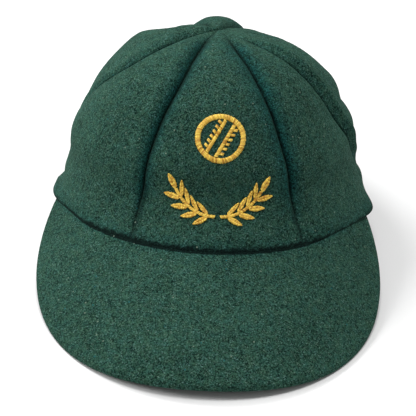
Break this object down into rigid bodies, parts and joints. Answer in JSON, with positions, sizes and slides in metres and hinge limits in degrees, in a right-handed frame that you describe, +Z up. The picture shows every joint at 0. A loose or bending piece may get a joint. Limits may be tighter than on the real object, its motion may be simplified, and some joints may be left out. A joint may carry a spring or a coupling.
{
  "type": "cricket cap",
  "caption": "Soft wool cricket cap with a close-fitting panelled crown, a broad drooping peak and a raised stitched emblem, lying on a flat surface as it rests by itself.",
  "frame": {"origin": "on the surface that the cap lies on, under the middle of its box", "axes": "+Z up from that surface, -Y towards the peak, +Y towards the back of the rim, -X and +X to the left and right as the cap is seen from the front"},
  "size_m": [0.1752, 0.2664, 0.1022],
  "materials": {
    "wool_cloth": "felted dark green wool melton",
    "gold_thread": "golden satin-stitched thread"
  },
  "bodies": {
    "root": {"crown_panel_front": "wool_cloth", "crown_panel_front_right": "wool_cloth", "crown_panel_side_right": "wool_cloth", "crown_panel_back_right": "wool_cloth", "crown_panel_back": "wool_cloth", "crown_panel_back_left": "wool_cloth", "crown_panel_side_left": "wool_cloth", "crown_panel_front_left": "wool_cloth", "peak_top": "wool_cloth", "peak_underside": "wool_cloth", "emblem_ball": "gold_thread", "emblem_sprig_left": "gold_thread", "emblem_sprig_right": "gold_thread"}
  },
  "joints": []
}
